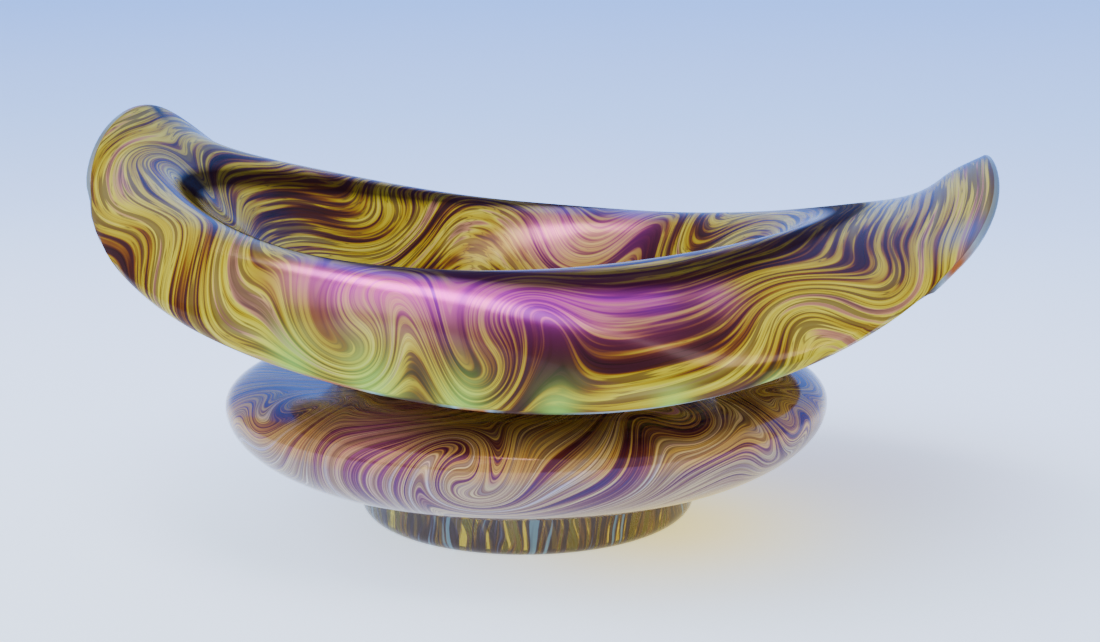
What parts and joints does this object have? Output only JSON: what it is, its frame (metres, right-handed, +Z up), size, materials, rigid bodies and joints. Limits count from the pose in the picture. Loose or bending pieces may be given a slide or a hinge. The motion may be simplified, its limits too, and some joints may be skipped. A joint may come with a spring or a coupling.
{
  "type": "art glass bowl",
  "caption": "Boat-shaped cased glass bowl with turned-down sides and raised pointed ends, on a squat round bulb and a ring foot.",
  "frame": {"origin": "middle of the bowl's outline, on the plane that the foot ring stands on", "axes": "+X along the bowl towards its lower tip, +Y across the bowl, +Z up"},
  "size_m": [0.2722, 0.1976, 0.129],
  "materials": {
    "clear_olive_glass": "fire-polished clear olive-yellow glass",
    "marbled_glass": "marbled yellow, brown and purple glass with an iridescent sheen"
  },
  "bodies": {
    "root": {"foot_ring": "clear_olive_glass", "foot_skin": "marbled_glass", "bulb_wall": "clear_olive_glass", "bulb_skin": "marbled_glass", "bowl_wall": "clear_olive_glass", "bowl_skin": "marbled_glass"}
  },
  "joints": []
}
